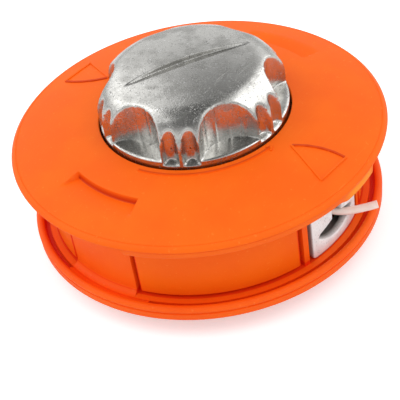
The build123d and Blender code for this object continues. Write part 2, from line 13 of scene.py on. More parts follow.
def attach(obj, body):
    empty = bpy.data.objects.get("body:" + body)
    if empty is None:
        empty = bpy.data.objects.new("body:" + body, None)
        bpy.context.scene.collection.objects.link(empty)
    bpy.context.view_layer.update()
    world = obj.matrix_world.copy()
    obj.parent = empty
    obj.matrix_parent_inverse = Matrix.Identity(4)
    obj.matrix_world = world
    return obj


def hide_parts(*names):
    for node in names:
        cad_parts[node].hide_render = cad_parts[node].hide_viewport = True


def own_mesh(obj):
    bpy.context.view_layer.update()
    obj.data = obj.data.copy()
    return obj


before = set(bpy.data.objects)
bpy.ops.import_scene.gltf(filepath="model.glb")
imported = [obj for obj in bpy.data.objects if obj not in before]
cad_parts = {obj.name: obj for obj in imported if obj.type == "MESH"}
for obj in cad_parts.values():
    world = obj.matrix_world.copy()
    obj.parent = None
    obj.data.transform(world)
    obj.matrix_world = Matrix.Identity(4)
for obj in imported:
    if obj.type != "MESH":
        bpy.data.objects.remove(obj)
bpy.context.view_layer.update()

MM = 0.001
SAME_PLACE = 2e-7
NO_LENGTH = 1e-8
scene = bpy.context.scene
scene.view_settings.view_transform = "Standard"

# %% [markdown]
# The camera looks down on the head at about forty degrees, and the picture is tilted so that
# the right side stands higher. A long lens keeps the rim's ellipse close to the real one. The
# place and the tilt could be found by trial, but a fit to the rims' ellipses is surer.

# %% Camera
eye = Vector((0.2166, -0.2373, 0.2769))
aim = Vector((-0.0025, -0.0023, 0.0064))
tilt = np.radians(9.53)
ahead = (aim - eye).normalized()
level = ahead.cross(Vector((0, 0, 1))).normalized()
above = level.cross(ahead)
right = level * np.cos(tilt) - above * np.sin(tilt)
up = level * np.sin(tilt) + above * np.cos(tilt)
lens = bpy.data.cameras.new("camera")
lens.lens = 103.7
lens.sensor_width = 36
lens.clip_start = 0.01
camera = bpy.data.objects.new("camera", lens)
scene.collection.objects.link(camera)
axes = Matrix((right, up, -ahead)).transposed().to_4x4()
camera.matrix_world = Matrix.Translation(eye) @ axes
scene.camera = camera
print("camera", round((aim - eye).length / MM), "mm from its aim")

# %% [markdown]
# Every new piece is one or more closed grids of points. A grid turns into faces by counting rows and
# columns, and the sign of the volume that it encloses tells whether the faces look outwards. Single
# faces could be listed by hand, but a grid keeps the formula of its surface in sight.


# %% Grids to meshes
def lattice(grid, close_u):
    """Faces of a grid (rows u, columns v, closed in v): each takes its point, the next in u, the one
    across and the next in v. An open u gets a flat cap at either end. All faces turn over if the sum
    of a . (b x c) over their triangles, which is six times the volume, is negative."""
    rows, columns = grid.shape[:2]
    i = np.arange(rows if close_u else rows - 1)[:, None]
    j = np.arange(columns)[None, :]
    nearer, further = i * columns, (i + 1) % rows * columns
    beside = (j + 1) % columns
    quads = np.stack([nearer + j, further + j, further + beside, nearer + beside], -1).reshape(-1, 4)
    faces = quads.tolist()
    triangles = [quads[:, [0, 1, 2]], quads[:, [0, 2, 3]]]
    if not close_u:
        first = np.arange(columns)
        last = (rows - 1) * columns + first[::-1]
        for cap in (first, last):
            faces.append(cap.tolist())
            triangles.append(np.stack([np.full(columns - 2, cap[0]), cap[1:-1], cap[2:]], 1))
    flat = grid.reshape(-1, 3)
    a, b, c = flat[np.concatenate(triangles).T]
    if np.einsum("ij,ij->", a, np.cross(b, c)) < 0:
        faces = [face[::-1] for face in faces]
    return flat, faces


def piece(name, grids, body, material, nodes=(), sharp=38):
    """One object from closed grids given as (points in mm, u closed). Poles and seams are merged."""
    points, faces, count = [], [], 0
    for grid, close_u in grids:
        flat, own = lattice(grid, close_u)
        points.append(flat)
        faces += [[k + count for k in face] for face in own]
        count += len(flat)
    mesh = bpy.data.meshes.new(name)
    mesh.from_pydata((np.concatenate(points) * MM).tolist(), [], faces)
    work = bmesh.new()
    work.from_mesh(mesh)
    bmesh.ops.remove_doubles(work, verts=work.verts, dist=SAME_PLACE)
    bmesh.ops.dissolve_degenerate(work, edges=work.edges, dist=NO_LENGTH)
    work.to_mesh(mesh)
    work.free()
    mesh.polygons.foreach_set("use_smooth", np.ones(len(mesh.polygons), bool))
    mesh.set_sharp_from_angle(angle=np.radians(sharp))
    if material:
        mesh.materials.append(material)
    made = bpy.data.objects.new(name, mesh)
    scene.collection.objects.link(made)
    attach(made, body)
    if nodes:
        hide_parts(*nodes)
    print(name, len(mesh.polygons), "faces")
    return made


def turned(profile, angles):
    """Carries a profile of (radius, height) round the axis: x = r cos a, y = r sin a."""
    profile = np.broadcast_to(profile, (len(angles), *np.shape(profile)[-2:]))
    a = np.asarray(angles)[:, None]
    return np.stack([profile[..., 0] * np.cos(a), profile[..., 0] * np.sin(a), profile[..., 1]], -1)


def smooth_min(a, b, k):
    """The lesser of two values with a rounded change-over of width k."""
    h = np.clip(0.5 + 0.5 * (b - a) / k, 0, 1)
    return b * (1 - h) + a * h - k * h * (1 - h)


def ease(x):
    """Smooth step: 3x^2 - 2x^3 between 0 and 1."""
    x = np.clip(x, 0, 1)
    return x * x * (3 - 2 * x)


# %% [markdown]
# The cutting line is a stiff nylon monofilament, 2.7 mm thick. Each end leaves its turns on the spool
# along a tangent, passes the eyelet's slot and stops at a clean cut. A NURBS curve with a few control
# points bends as evenly as the nylon does. A tube is carried along the curve's own points, so that its
# cut end can have a small worn edge, which a curve's bevel doesn't give.

# %% Line ends
LINE = 2.7
LINE_SIDES = 28
WORN_SIZE, WORN_OUT = 0.88, 0.12
right_route = [
    (21.11, -23.99, 22.55),
    (34.73, -11.99, 22.44),
    (48.36, 0.0, 22.14),
    (55.4, 6.19, 18.04),
    (63.06, 12.93, 20.07),
]
left_route = [
    (-18.82, 25.82, 32.62),
    (-32.99, 15.49, 32.51),
    (-47.16, 5.16, 32.16),
    (-54.49, -0.18, 30.48),
    (-62.74, -6.18, 29.46),
]


def spline_points(route):
    """Points of a NURBS curve of order three that has the route as its control points, held at both ends."""
    curve = bpy.data.curves.new("route", "CURVE")
    curve.dimensions = "3D"
    curve.resolution_u = 20
    spline = curve.splines.new("NURBS")
    spline.points.add(len(route) - 1)
    spline.points.foreach_set("co", np.column_stack([np.array(route), np.ones(len(route))]).ravel())
    spline.order_u = 3
    spline.use_endpoint_u = True
    holder = bpy.data.objects.new("route", curve)
    mesh = bpy.data.meshes.new_from_object(holder)
    points = np.empty(len(mesh.vertices) * 3)
    mesh.vertices.foreach_get("co", points)
    bpy.data.objects.remove(holder)
    bpy.data.curves.remove(curve)
    bpy.data.meshes.remove(mesh)
    return points.reshape(-1, 3)


def carried(path, section):
    """Carries a section of (across, up) along a path: across is level and square to the path, and up is
    square to both."""
    ahead = np.gradient(path, axis=0)
    ahead /= np.linalg.norm(ahead, axis=1, keepdims=True)
    across = np.cross(ahead, [0.0, 0.0, 1.0])
    across /= np.linalg.norm(across, axis=1, keepdims=True)
    upward = np.cross(across, ahead)
    section = np.broadcast_to(section, (len(path), *np.shape(section)[-2:]))
    return path[:, None] + section[..., :1] * across[:, None] + section[..., 1:] * upward[:, None]


def round_section(radius, columns):
    """A circle as (across, up); a radius for each place along the path may be given."""
    a = np.linspace(0, 2 * np.pi, columns, endpoint=False)
    return np.reshape(radius, (-1, 1, 1)) * np.stack([np.cos(a), np.sin(a)], 1)


def line_end(name, route, node):
    """A tube on the route's spline. One more ring, drawn in a little and pushed out a little, wears the
    cut edge round."""
    path = spline_points(route)
    tube = carried(path, round_section(LINE / 2, LINE_SIDES))
    out = path[-1] - path[-2]
    worn = path[-1] + WORN_SIZE * (tube[-1:] - path[-1]) + WORN_OUT * out / np.linalg.norm(out)
    grid = np.concatenate([tube, worn])
    made = piece(name, [(grid, False)], "housing", None, [node], 40)
    return made


line_right = line_end("trimmer_line_right", right_route, "line_end_right")
line_left = line_end("trimmer_line_left", left_route, "line_end_left")

# %% [markdown]
# Finishes are node trees. Written node by node they are long, so one class wraps a socket: plain
# arithmetic on it adds Math nodes, and one method adds any other node with its settings first.


# %% A socket that does arithmetic
class Flow:
    """A node's output. + - * / and ** on it add Math nodes to the same tree."""

    def __init__(self, socket):
        self.socket = socket
        self.tree = socket.id_data

    def node(self, kind, settings=None, out=0, **values):
        """Adds a node: settings first, then values or links by socket name or number."""
        made = self.tree.nodes.new(kind)
        for key, value in (settings or {}).items():
            setattr(made, key, value)
        for key, value in values.items():
            slot = made.inputs[int(key[1:]) if key[1:].isdigit() else key.replace("_", " ")]
            if isinstance(value, Flow):
                self.tree.links.new(value.socket, slot)
            else:
                slot.default_value = value
        return Flow(made.outputs[out])

    def math(self, operation, first, second):
        return self.node("ShaderNodeMath", {"operation": operation}, i0=first, i1=second)

    def __add__(self, other):
        return self.math("ADD", self, other)

    def __radd__(self, other):
        return self.math("ADD", other, self)

    def __sub__(self, other):
        return self.math("SUBTRACT", self, other)

    def __rsub__(self, other):
        return self.math("SUBTRACT", other, self)

    def __mul__(self, other):
        return self.math("MULTIPLY", self, other)

    def __rmul__(self, other):
        return self.math("MULTIPLY", other, self)

    def __truediv__(self, other):
        return self.math("DIVIDE", self, other)

    def __pow__(self, other):
        return self.math("POWER", self, other)

    def blend(self, first, second):
        """Mixes two colours with this number as the factor."""
        return self.node("ShaderNodeMix", {"data_type": "RGBA"}, out=2, i0=self, i6=first, i7=second)

    def step(self, low, high):
        """0 below low, 1 above high and a smooth rise between."""
        settings = {"interpolation_type": "SMOOTHSTEP"}
        return self.node("ShaderNodeMapRange", settings, Value=self, From_Min=low, From_Max=high)

    def noise(self, scale, detail=2.0, roughness=0.5):
        """Noise on this vector; scale is in waves per metre."""
        return self.node("ShaderNodeTexNoise", Vector=self, Scale=scale, Detail=detail, Roughness=roughness)

    def stretched(self, x, y, z, turn=0.0):
        """This vector scaled along each axis, turned about z, for brushed and scratched patterns."""
        return self.node("ShaderNodeMapping", Vector=self, Scale=(x, y, z), Rotation=(0, 0, turn))


def linear(red, green, blue):
    """A screen colour of 0 to 255 as linear light."""
    c = np.array([red, green, blue]) / 255
    return (*np.where(c <= 0.04045, c / 12.92, ((c + 0.055) / 1.055) ** 2.4).tolist(), 1.0)


def finish(name, **constants):
    """A new material: returns it, its shader's inputs and the Object coordinates to start from."""
    made = bpy.data.materials.new(name)
    made.use_nodes = True
    shader = made.node_tree.nodes["Principled BSDF"]
    for key, value in constants.items():
        shader.inputs[key.replace("_", " ")].default_value = value
    place = Flow(made.node_tree.nodes.new("ShaderNodeTexCoord").outputs["Object"])
    return made, shader, place


def feed(shader, **links):
    """Links worked-out values to the shader's sockets."""
    for key, flow in links.items():
        shader.id_data.links.new(flow.socket, shader.inputs[key.replace("_", " ")])


def bumped(height, distance, strength):
    """A Bump node from a height of 0 to 1; distance in metres."""
    return height.node("ShaderNodeBump", Height=height, Distance=distance, Strength=strength)


print("finishes are made by expressions on", Flow.__name__)

# %% [markdown]
# The housing and the cover are moulded in orange nylon. Such a skin is smooth with a faint mottle, a
# fine spark-eroded grain from the mould, dust-fine pale specks and a few hairline scratches. Light that
# is caught between orange walls turns red, so creases and walls in shade get a deeper red as painted
# shade in their colour, and the thin hoods over the eyelets get a painted yellow glow. Noise gives the
# skin, and masks made from radius, height and angle place the painted shade and glow. A painted picture
# could do the same, but it would need a file and an unwrapped surface.


# %% Moulded orange plastic
def between(value, low, high, soft):
    """1 from low to high and 0 outside, with edges of width soft; all in millimetres."""
    return value.step((low - soft) * MM, low * MM) * (1 - value.step(high * MM, (high + soft) * MM))


def aside(x, y, degrees):
    """Distance from the upright plane through the axis at an angle: the size of y cos a - x sin a."""
    a = np.radians(degrees)
    return ((y * float(np.cos(a)) - x * float(np.sin(a))) ** 2) ** 0.5


def hood_painted_glow(x, y, z, radius):
    """Painted glow on the rim's hoods over the eyelets, as if light came through the thin plastic."""
    low = 1 - z.step(0.0388, 0.0398)
    return 0.85 * radius.step(0.0605, 0.062) * low * (1 - aside(x, y, 1.5).step(0.004, 0.011))


def dent_wall_shade(x, y, z, radius):
    """Painted shade on the inner wall of the finger dents, deepest at its foot: a band of radius within 16
    degrees of the piers."""
    sideways = aside(x, y, -92.35) / radius
    lower = 1 - z.step(0.0438, 0.0458)
    return 0.85 * lower * between(radius, 46.5, 47.1, 0.35) * (1 - sideways.step(0.268, 0.282))


def rim_crease_shade(x, y, z, radius):
    """Painted shade in the crease between the rim's two bands."""
    return 0.7 * radius.step(0.063, 0.0635) * between(z, 39.95, 40.2, 0.15)


def panel_gap_shade(x, y, z, radius):
    """Painted shade in the upright gaps beside the cover's panels."""
    edges = [1 - aside(x, y, a).step(0.0003, 0.0008) for a in (-19.2, -76.7, -107.4, -161.0)]
    return 0.8 * sum(edges[1:], edges[0]) * between(radius, 50.0, 56.2, 0.1) * between(z, 12.0, 39.0, 0.5)


def sign_side_shade(x, y, z, radius):
    """Painted shade on the thick curved side of the triangles on the cover: a strip along the circle through
    its ends and its middle. The circle's centre c solves 2 (q - p) . c = q.q - p.p for two pairs of points."""
    a = np.radians([-1.6, 4.2, 4.8])
    p = np.array([40.2, 48.9, 57.1])[:, None] * MM * np.stack([np.cos(a), np.sin(a)], 1)
    east, north = np.linalg.solve(2 * (p[1:] - p[0]), (p[1:] ** 2).sum(1) - (p[0] ** 2).sum()).tolist()
    size = float(np.hypot(p[0, 0] - east, p[0, 1] - north))
    out = (x**2) ** 0.5
    along = y * x / out
    off = ((((out - east) ** 2 + (along - north) ** 2) ** 0.5 - size) ** 2) ** 0.5
    where = between(radius, 40.5, 56.8, 0.2) * along.step(-0.0016, -0.001) * z.step(0.039, 0.04)
    return 0.75 * (1 - off.step(0.0004, 0.0007)) * where


def arc_side_shade(x, y, z, radius):
    """Painted shade along the arc round the knob's hole: a thin ring within 37 degrees of the plane through
    its middle.
    """
    middle = 1 - aside(x, y, -46.5).step(0.0214, 0.0217)
    return 0.6 * between(radius, 35.3, 35.8, 0.25) * middle * z.step(0.046, 0.0465)


def panel_foot_shade(x, y, z, radius):
    """Painted shade in the low gap under the panels."""
    return 0.8 * between(radius, 52.0, 55.7, 0.3) * between(z, 11.2, 12.8, 0.4)


def flange_groove_shade(x, y, z, radius):
    """Painted shade in the groove inside the flange's lip."""
    return 0.85 * between(radius, 58.3, 59.8, 0.5) * (1 - z.step(0.0112, 0.0122))


def moulded_plastic(name, body, deep, pale, painted_light):
    """Mottle of about 20 mm, grain of 0.5 mm, specks of 0.6 mm and scratches along one direction. The painted
    light is a list of (mask, colour) pairs, painted shade and painted glow: each mixes its colour in where
    its mask is near 1."""
    made, shader, place = finish(name, Specular_IOR_Level=0.16)
    mottle = place.noise(55.0, 3.0, 0.55)
    grain = place.noise(2200.0, 3.0, 0.6)
    specks = place.noise(900.0, 1.0, 0.4).step(0.70, 0.76)
    scratch_field = place.stretched(260.0, 9.0, 260.0, 0.6).noise(6.0, 2.0, 0.7)
    scratches = scratch_field.step(0.69, 0.72)
    colour = mottle.step(0.3, 0.7).blend(deep, body)
    colour = (specks * 0.25).blend(colour, pale)
    colour = (scratches * 0.18).blend(colour, pale)
    x, y, z = [place.node("ShaderNodeSeparateXYZ", out=axis, Vector=place) for axis in range(3)]
    radius = (x**2 + y**2) ** 0.5
    # Painted shade and painted glow are mixed into the colour where their masks lie.
    for mask, painted_colour in painted_light:
        colour = mask(x, y, z, radius).blend(colour, painted_colour)
    rough = 0.42 + 0.1 * mottle + 0.06 * grain + 0.12 * scratches
    height = grain * 0.6 + (1 - scratches) * 0.4
    feed(shader, Base_Color=colour, Roughness=rough, Normal=bumped(height, 0.00006, 0.6))
    return made


# Colours of painted shade for creases, gaps and shaded walls, and of a painted glow for the thin hoods.
crease_shade = linear(238, 40, 5)
wall_shade = linear(200, 50, 8)
painted_hood_glow = linear(255, 150, 0)
cover_orange = moulded_plastic(
    "cover_orange",
    linear(250, 105, 8),
    linear(247, 98, 5),
    linear(255, 145, 60),
    [
        (dent_wall_shade, wall_shade),
        (sign_side_shade, wall_shade),
        (arc_side_shade, wall_shade),
        (rim_crease_shade, crease_shade),
        (panel_gap_shade, crease_shade),
        (panel_foot_shade, crease_shade),
        (hood_painted_glow, painted_hood_glow),
    ],
)
# The housing gets painted shade in its panel gaps, under its panels and in the flange's groove.
housing_orange = moulded_plastic(
    "housing_orange",
    linear(253, 100, 14),
    linear(249, 92, 10),
    linear(255, 146, 72),
    [(panel_gap_shade, crease_shade), (panel_foot_shade, crease_shade), (flange_groove_shade, crease_shade)],
)
print("plastics:", cover_orange.name, housing_orange.name)

# %% [markdown]
# The knob is die-cast aluminium, tumbled to a soft shine: bright skin, grey mottling where the tumbling
# stones left a haze, dark pin pits, tiny bright nicks, and scratches in all directions. The colour stays
# near that of bare aluminium, and most of what the eye sees is the room in it, so the haze goes into the
# roughness.


# %% Cast and tumbled aluminium
def tumbled_casting(name):
    """Haze of 8 mm and 2 mm, pits of 0.3 mm from thresholded noise, two crossed sets of scratches."""
    made, shader, place = finish(name, Metallic=1.0)
    haze = place.noise(120.0, 5.0, 0.65)
    fine = place.noise(1700.0, 3.0, 0.7)
    pits = place.noise(2100.0, 2.0, 0.5).step(0.62, 0.72)
    nicks = place.noise(1600.0, 1.0, 0.5).step(0.66, 0.74)
    one = place.stretched(700.0, 40.0, 300.0, 0.5).noise(1.0, 2.0, 0.6).step(0.66, 0.7)
    two = place.stretched(40.0, 600.0, 300.0, -0.4).noise(1.0, 2.0, 0.6).step(0.68, 0.72)
    scratches = one * 0.6 + two * 0.6
    patches = haze.step(0.42, 0.62)
    colour = patches.blend(linear(198, 197, 193), linear(172, 171, 167))
    colour = (pits * 0.75).blend(colour, linear(72, 71, 70))
    colour = (nicks * 0.6).blend(colour, linear(238, 239, 240))
    rough = 0.13 + 0.10 * patches + 0.12 * fine + 0.10 * scratches
    height = fine * 0.5 + (1 - pits) * 0.8 + (1 - scratches) * 0.3
    feed(shader, Base_Color=colour, Roughness=rough, Normal=bumped(height, 0.0001, 0.8))
    return made


knob_metal = tumbled_casting("knob_casting")


# %% [markdown]
# The eyelets are cast as well, but left as they come from the mould: matte and grainy. Inside the slot
# and along the joint to the drum they get painted shade: a darker colour with depth behind the drum's
# face, and a reddish brown at the plate's sides and foot.


# %% Matte cast metal of the eyelets
def matte_casting(name):
    """Sand-like grain of 0.4 mm with dark specks on a matte grey. Painted shade darkens it behind the drum's
    face, and at the plate's sides and foot."""
    made, shader, place = finish(name, Metallic=0.1)
    cloud = place.noise(250.0, 4.0, 0.6)
    sand = place.noise(2400.0, 3.0, 0.7)
    dark = place.noise(1700.0, 2.0, 0.5).step(0.60, 0.72)
    colour = cloud.step(0.3, 0.7).blend(linear(236, 236, 236), linear(250, 250, 250))
    colour = (dark * 0.55).blend(colour, linear(150, 146, 142))
    x, y, z = [place.node("ShaderNodeSeparateXYZ", out=axis, Vector=place) for axis in range(3)]
    # Painted shade: darker inside the slot behind the drum's face, and reddish brown along the plate's sides
    # and foot where it meets the drum.
    deep = 1 - ((x**2 + y**2) ** 0.5).step(0.0528, 0.0553)
    colour = (deep * 0.85).blend(colour, linear(92, 84, 78))
    side = ((y**2) ** 0.5).step(0.01275, 0.0133)
    foot = 1 - z.step(0.0118, 0.0123)
    joint_shade = 1 - (1 - side) * (1 - foot)
    colour = (joint_shade * 0.75).blend(colour, linear(96, 40, 24))
    rough = 0.42 + 0.18 * sand
    feed(shader, Base_Color=colour, Roughness=rough, Normal=bumped(sand, 0.00012, 0.8))
    return made


eyelet_metal = matte_casting("eyelet_casting")


# %% [markdown]
# The line is drawn nylon: milky, a little glossy, with faint marks along it from the drawing die. It could
# be made see-through, but at this thickness the light that it scatters inside hides what lies behind.


# %% Nylon line
def nylon(name):
    """Milky monofilament: slow changes of tone along it and faint draw lines round it."""
    made, shader, place = finish(name, Specular_IOR_Level=0.5, Coat_Weight=0.2)
    tone = place.noise(160.0, 2.0, 0.5)
    drawn = place.stretched(900.0, 60.0, 900.0, -0.74).noise(1.0, 2.0, 0.5)
    colour = tone.step(0.3, 0.7).blend(linear(246, 224, 212), linear(254, 240, 232))
    rough = 0.24 + 0.16 * drawn
    feed(shader, Base_Color=colour, Roughness=rough, Normal=bumped(drawn, 0.00004, 0.5))
    return made


line_nylon = nylon("nylon_line")


# %% [markdown]
# The spool is black nylon and the hidden metal pieces are zinc-plated steel. They show only when the head
# is taken apart, yet they get full finishes, since each piece may be used by itself.


# %% Dark plastic of the spool
def spool_plastic(name):
    """Black nylon with a grey bloom and a fine grain."""
    made, shader, place = finish(name)
    bloom = place.noise(90.0, 3.0, 0.6)
    grain = place.noise(2000.0, 3.0, 0.6)
    colour = bloom.step(0.35, 0.75).blend(linear(34, 34, 36), linear(58, 58, 60))
    rough = 0.38 + 0.2 * bloom
    feed(shader, Base_Color=colour, Roughness=rough, Normal=bumped(grain, 0.00005, 0.6))
    return made


spool_black = spool_plastic("spool_plastic")


# %% Zinc-plated steel
def plated_steel(name):
    """Bright zinc with a blue-grey cloud, turning marks in rings and small dull spots."""
    made, shader, place = finish(name, Metallic=1.0)
    cloud = place.noise(300.0, 4.0, 0.6)
    marks = place.stretched(30.0, 30.0, 3200.0).noise(1.0, 2.0, 0.5)
    spots = place.noise(1300.0, 2.0, 0.5).step(0.62, 0.7)
    colour = cloud.step(0.3, 0.7).blend(linear(186, 190, 196), linear(214, 214, 212))
    colour = (spots * 0.4).blend(colour, linear(120, 122, 126))
    rough = 0.22 + 0.14 * marks + 0.15 * spots
    feed(shader, Base_Color=colour, Roughness=rough, Normal=bumped(marks, 0.00003, 0.5))
    return made


bright_steel = plated_steel("bright_steel")
others = (knob_metal, eyelet_metal, line_nylon, spool_black, bright_steel)
print("metals and nylon:", [made.name for made in others])

# %% [markdown]
# Seven pieces keep their CAD shapes, because those already have every edge that shows. Only their finish
# is new.

# %% Finishes of the pieces that stay CAD
kept = {
    "housing": housing_orange,
    "spool": spool_black,
    "winding_lower": line_nylon,
    "winding_upper": line_nylon,
    "spring_washer": bright_steel,
    "screw_washer": bright_steel,
    "knob_screw": bright_steel,
}
for node, material in kept.items():
    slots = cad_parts[node].data.materials
    slots.clear()
    slots.append(material)
for made in (line_right, line_left):
    made.data.materials.append(line_nylon)
print("kept CAD nodes:", sorted(kept))

# %% [markdown]
# The bump knob is the casting that is knocked on the ground. It is a dome with six finger scallops, each
# above a ledge, six pairs of narrow flutes between them and a pointed recess along the crown. It could be
# carved with booleans, but as a radius that depends on angle and height every edge comes out rounded, as a
# casting's edges are: the radius is the least of the dome's, the scallop's and the flute's.

# %% Sizes of the knob
KNOB_R, KNOB_LOW, HOLE_Z = 32.6, 40.434, 47.4
SIDE_Z, APEX_Z, SHOULDER, WALL = HOLE_Z + 6.1, HOLE_Z + 19.6, 12.0, 2.6
LEDGE_Z = HOLE_Z + 2.4
SCALLOP_AT, SCALLOP_R = KNOB_R + 5.2, 12.5
RIDGES, RIDGE_WIDTH, RIDGE_HEIGHT = np.array([-46, -16, 16, 46]), 2.4, 0.26
FLUTE_R, FLUTE_AT = 2.6, np.radians(6.0)
RECESS_HALF, RECESS_WIDE, RECESS_DEEP, RECESS_TURN = 24.4, 2.5, 1.8, np.pi / 3
SIXTH = np.pi / 3
NOWHERE = 60.0
APEX_LEAN = 0.003
centre_r = KNOB_R - SHOULDER
crown_z = ((APEX_Z - SHOULDER) ** 2 - centre_r**2 - SIDE_Z**2) / (2 * (APEX_Z - SHOULDER - SIDE_Z))
crown_r = APEX_Z - crown_z
lean = np.arctan2(centre_r, SIDE_Z - crown_z)
print("knob crown radius", round(float(crown_r), 1), "mm")


# %% The knob's surface
def dome(inset, rows_crown, rows_shoulder, side_heights):
    """Profile from the apex down: the crown's arc, the shoulder's arc, then straight heights."""
    share = np.linspace(0, 1, rows_crown, endpoint=False) ** 1.6
    a = APEX_LEAN + (lean - APEX_LEAN) * share
    crown = np.stack([(crown_r - inset) * np.sin(a), crown_z + (crown_r - inset) * np.cos(a)], 1)
    b = np.linspace(lean, np.pi / 2, rows_shoulder)
    bend = SHOULDER - inset
    shoulder = np.stack([centre_r + bend * np.sin(b), SIDE_Z + bend * np.cos(b)], 1)
    side = np.stack([np.full(len(side_heights), KNOB_R - inset), side_heights], 1)
    return np.concatenate([crown, shoulder, side])


def scallop_depth(angles, inset):
    """Distance from the axis to a scallop along each angle: a circle about a point outside the knob, with
    four low ridges that the casting tool leaves upright in it. The hollow's copy has no ridges."""
    off = angles % SIXTH - SIXTH / 2
    radius = SCALLOP_R + inset
    across = SCALLOP_AT * np.sin(off)
    near = SCALLOP_AT * np.cos(off) - np.sqrt(np.maximum(radius**2 - across**2, 0))
    place = np.degrees(np.arcsin(np.clip(across / radius, -1, 1)))
    ridge = np.exp(-(((place[:, None] - RIDGES) / RIDGE_WIDTH) ** 2)).sum(1)
    raised = RIDGE_HEIGHT * ridge if inset == 0 else 0
    return np.where(np.abs(across) < radius, near + raised, NOWHERE)


def flute_depth(angles):
    """Distance from the axis to the pair of flutes: circles about points on the knob's edge."""
    off = (angles + SIXTH / 2) % SIXTH - SIXTH / 2
    near = np.abs(np.abs(off) - FLUTE_AT)
    across = KNOB_R * np.sin(near)
    deep = KNOB_R * np.cos(near) - np.sqrt(np.maximum(FLUTE_R**2 - across**2, 0))
    return np.where(across < FLUTE_R, deep, NOWHERE)


def recessed(x, y, z):
    """Heights with the pointed recess sunk in: it is the lens between two circles of one radius, which
    comes from its half length l and half width w as (l^2 + w^2) / 2w."""
    along = x * np.cos(RECESS_TURN) + y * np.sin(RECESS_TURN)
    across = y * np.cos(RECESS_TURN) - x * np.sin(RECESS_TURN)
    sweep = (RECESS_HALF**2 + RECESS_WIDE**2) / (2 * RECESS_WIDE)
    edge = np.hypot(along, np.abs(across) + sweep - RECESS_WIDE) - sweep
    over_floor = np.maximum(z - (APEX_Z - RECESS_DEEP), 0)
    return z - ease(-edge / 0.55 + 0.2) * over_floor * (z > SIDE_Z)


def knob_surface(columns):
    """Rows run from the apex over the outside, round the foot and up the hollow to its roof."""
    angles = np.linspace(0, 2 * np.pi, columns, endpoint=False)
    cos, sin = np.cos(angles)[:, None], np.sin(angles)[:, None]
    above, ledge = np.linspace(SIDE_Z - 0.5, 50.9, 6), np.linspace(50.7, 47.6, 22)
    outer = dome(0.0, 100, 34, np.concatenate([above, ledge, np.linspace(47.0, KNOB_LOW, 5)]))
    r, z = outer[:, 0][None, :], outer[:, 1][None, :]
    cut = smooth_min(scallop_depth(angles, 0.0)[:, None], r, 0.7)
    cut = r + (np.minimum(cut, r) - r) * ease((z - LEDGE_Z + 0.35) / 0.8)
    groove = smooth_min(flute_depth(angles)[:, None], cut, 0.5)
    cut = cut + (np.minimum(groove, cut) - cut) * ease((z - HOLE_Z - 0.6) / 1.4)
    x, y = cut * cos, cut * sin
    outside = np.stack([x, y, recessed(x, y, np.broadcast_to(z, x.shape))], -1)
    inner = dome(WALL, 16, 10, np.linspace(SIDE_Z - 1, KNOB_LOW, 8))[::-1]
    r, z = inner[:, 0][None, :], inner[:, 1][None, :]
    wall = np.minimum(scallop_depth(angles, WALL)[:, None], r)
    hollow = np.where(z > LEDGE_Z - WALL, wall, r)
    inside = np.stack([hollow * cos, hollow * sin, np.broadcast_to(z, hollow.shape)], -1)
    return np.concatenate([outside, inside], 1)


knob_grid = np.swapaxes(knob_surface(480), 0, 1)
piece("bump_knob_casting", [(knob_grid, False)], "spool", knob_metal, ["bump_knob"], 50)

# %% [markdown]
# The cover is the orange ring round the knob. Its top is a shallow cone with a slight bulge, a rounded rim,
# two finger dents over the latches, and skirt panels that close the drum. One profile is carried round the
# axis, and the dents lower the top where they lie: the surface is the lesser of the cone and the dent's
# floor with sloped walls.

# %% Sizes of the cover
COVER_R, HOLE_R, RIM_Z, RIM_EDGE = 65.0, 33.2, 40.4, 1.5
RIM_TOP = COVER_R - RIM_EDGE
SLOPE = (7.0 - RIM_EDGE) / (RIM_TOP - HOLE_R)
BULGE = 0.6
HOLE_EDGE = 0.4
DRUM_R, FLOOR_Z, PANEL_TOP = 55.5, 11.6, 42.0
PANEL_A, PANEL_B = (-76.7, -19.2), (-161.0, -107.4)
PIER_MID = (-106.5 - 78.2) / 2
DENT_R, DENT_HALF, DENT_DEEP, DENT_STEEP = 47.0, 16.0, 2.2, 6.5


def cone(r):
    """Height of the cover's top: a straight cone plus a low parabola."""
    u = (2 * r - HOLE_R - RIM_TOP) / (RIM_TOP - HOLE_R)
    return RIM_Z + RIM_EDGE + SLOPE * (RIM_TOP - r) + BULGE * np.maximum(1 - u * u, 0)


DENT_Z = RIM_Z + RIM_EDGE + SLOPE * (RIM_TOP - DENT_R) + BULGE - DENT_DEEP
print("dent floor at", round(DENT_Z, 2), "mm")


# %% The cover's ring
def arc(centre, radius, start, end, steps):
    """Points of an arc from one angle to another, in degrees."""
    a = np.radians(np.linspace(start, end, steps))
    return np.stack([centre[0] + radius * np.cos(a), centre[1] + radius * np.sin(a)], 1)


def from_place(turn, middle):
    """Degrees from a place that comes twice round the head, between -90 and 90."""
    return (turn - middle + 90) % 180 - 90


def dent(r, turn):
    """Height of a dent's floor and walls: the floor rises outwards, the walls rise steeply with the
    distance from the floor's edge."""
    beside = (np.abs(from_place(turn, PIER_MID))[:, None] - DENT_HALF) * np.pi / 180 * r[None, :]
    inside = (DENT_R - r)[None, :]
    away = np.hypot(np.maximum(beside, 0), np.maximum(inside, 0))
    return DENT_Z + 0.12 * np.maximum(r - DENT_R, 0)[None, :] + DENT_STEEP * away


def rim_profile():
    """The rim's outline in (radius, height): a bead, the upper band, a crease and the lower band."""
    bead = [(-1.85, 1.42), (-1.7, 1.4), (-1.55, 1.5), (-1.2, 1.42), (-0.85, 1.2), (-0.45, 0.85)]
    upper = [(-0.3, 0.62), (-0.06, 0.42), (0.0, 0.2), (-0.04, 0.0)]
    crease = [(-0.4, -0.15), (-0.85, -0.25), (-0.85, -0.45), (-0.5, -0.55)]
    lower = [(-0.5, -2.2), (-0.6, -2.45), (-0.85, -2.6)]
    inner = [(-2.2, -2.6), (-2.45, -2.35), (-2.5, -0.9), (-2.7, -0.75)]
    return np.array(bead + upper + crease + lower + inner) + np.array([COVER_R, RIM_Z])


